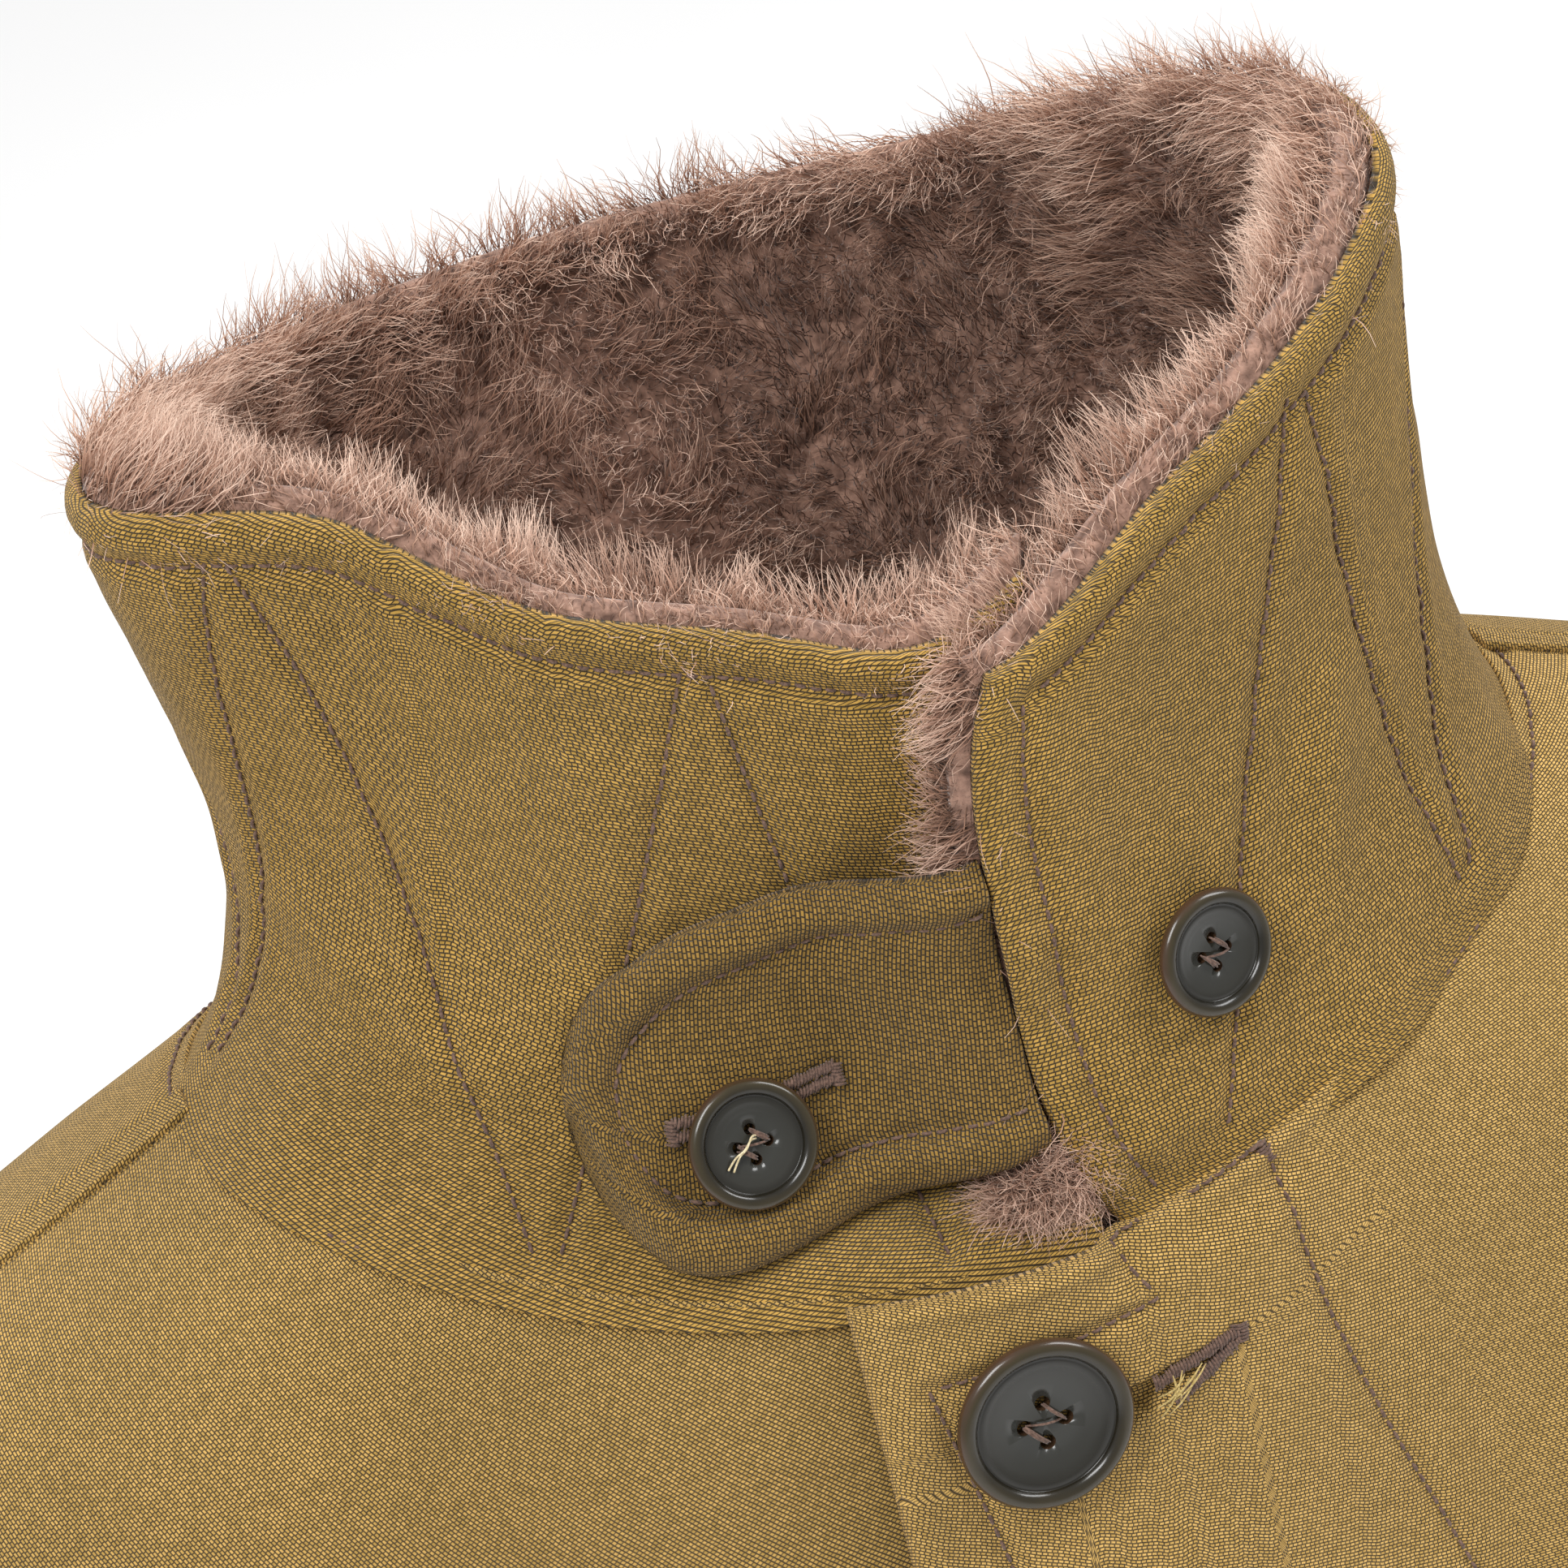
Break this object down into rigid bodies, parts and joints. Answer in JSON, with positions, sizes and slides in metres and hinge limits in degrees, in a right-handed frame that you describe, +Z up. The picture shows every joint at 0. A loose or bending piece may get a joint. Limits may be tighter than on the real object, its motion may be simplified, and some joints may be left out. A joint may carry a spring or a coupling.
{
  "type": "pile-lined work coat",
  "caption": "Waist-length work coat with a standing pile-lined collar, button tab, zip under a buttoned storm flap, and set-in sleeves.",
  "frame": {"origin": "underside of the hanger loop at the back of the neck, where a hook bears", "axes": "+Z up, the front of the coat faces -Y, +X towards the wearer's left"},
  "size_m": [0.886, 0.2982, 0.7714],
  "materials": {
    "cord_cloth": "fine ribbed cotton cord cloth, olive khaki",
    "pile": "mauve-brown woven pile",
    "rib_knit": "rib knit",
    "twill_tape": "woven tape",
    "thread": "wound sewing thread",
    "button": "glossy dark grey-olive",
    "zip_metal": "aged brass tone"
  },
  "bodies": {
    "coat": {"back_lining": "pile", "back_panel": "cord_cloth", "collar_lining": "pile", "collar_shell": "cord_cloth", "collar_tab_root": "cord_cloth", "front_button_1": "button", "front_button_2": "button", "front_button_3": "button", "front_button_4": "button", "front_button_5": "button", "front_button_shanks": "thread", "front_lining_left": "pile", "front_lining_right": "pile", "front_panel_left": "cord_cloth", "front_panel_right": "cord_cloth", "hanger_loop": "twill_tape", "hem_facing": "twill_tape", "pocket_bag_left": "twill_tape", "pocket_bag_right": "twill_tape", "pocket_welt_left": "cord_cloth", "pocket_welt_right": "cord_cloth", "shoulder_seam_left": "cord_cloth", "shoulder_seam_right": "cord_cloth", "sleeve_head_left": "cord_cloth", "sleeve_head_right": "cord_cloth", "spare_button": "button", "spare_button_shank": "thread", "storm_flap_root": "cord_cloth", "tab_button": "button", "tab_button_shank": "thread", "zip_bottom_box": "zip_metal", "zip_tape_left": "twill_tape", "zip_tape_right": "twill_tape", "zip_teeth_left": "zip_metal", "zip_teeth_right": "zip_metal"},
    "storm_flap": {"storm_flap": "cord_cloth"},
    "collar_tab": {"collar_tab": "cord_cloth"},
    "zip_slider": {"zip_slider": "zip_metal"},
    "zip_pull": {"zip_pull": "zip_metal"},
    "sleeve_left": {"sleeve_left": "cord_cloth", "sleeve_lining_left": "pile", "knit_cuff_left": "rib_knit"},
    "sleeve_right": {"sleeve_right": "cord_cloth", "sleeve_lining_right": "pile", "knit_cuff_right": "rib_knit"}
  },
  "joints": [
    {"name": "storm_flap_hinge", "type": "hinge", "parent": "coat", "child": "storm_flap", "pos_m": [0.05, -0.1675, -0.312], "axis": [0, 0.137, 0.9906], "range_deg": [0, 100], "deforming": ["storm_flap_root"]},
    {"name": "collar_tab_hinge", "type": "hinge", "parent": "coat", "child": "collar_tab", "pos_m": [0.0015, -0.11835, 0.02415], "axis": [0, 0.232, 0.9727], "range_deg": [0, 130], "deforming": ["collar_tab_root"]},
    {"name": "zip_slide", "type": "slide", "parent": "coat", "child": "zip_slider", "axis": [0, -0.1231, -0.9924], "range_m": [0, 0.545]},
    {"name": "zip_pull_swing", "type": "hinge", "parent": "zip_slider", "child": "zip_pull", "pos_m": [0.01, -0.12623, -0.03527], "axis": [-1, 0, 0], "range_deg": [0, 8]},
    {"name": "sleeve_left_raise", "type": "hinge", "parent": "coat", "child": "sleeve_left", "pos_m": [0.222, -0.044, -0.107], "axis": [0, -1, 0], "range_deg": [0, 60], "deforming": ["sleeve_head_left"]},
    {"name": "sleeve_right_raise", "type": "hinge", "parent": "coat", "child": "sleeve_right", "pos_m": [-0.222, -0.044, -0.107], "axis": [0, 1, 0], "range_deg": [0, 60], "deforming": ["sleeve_head_right"]}
  ]
}
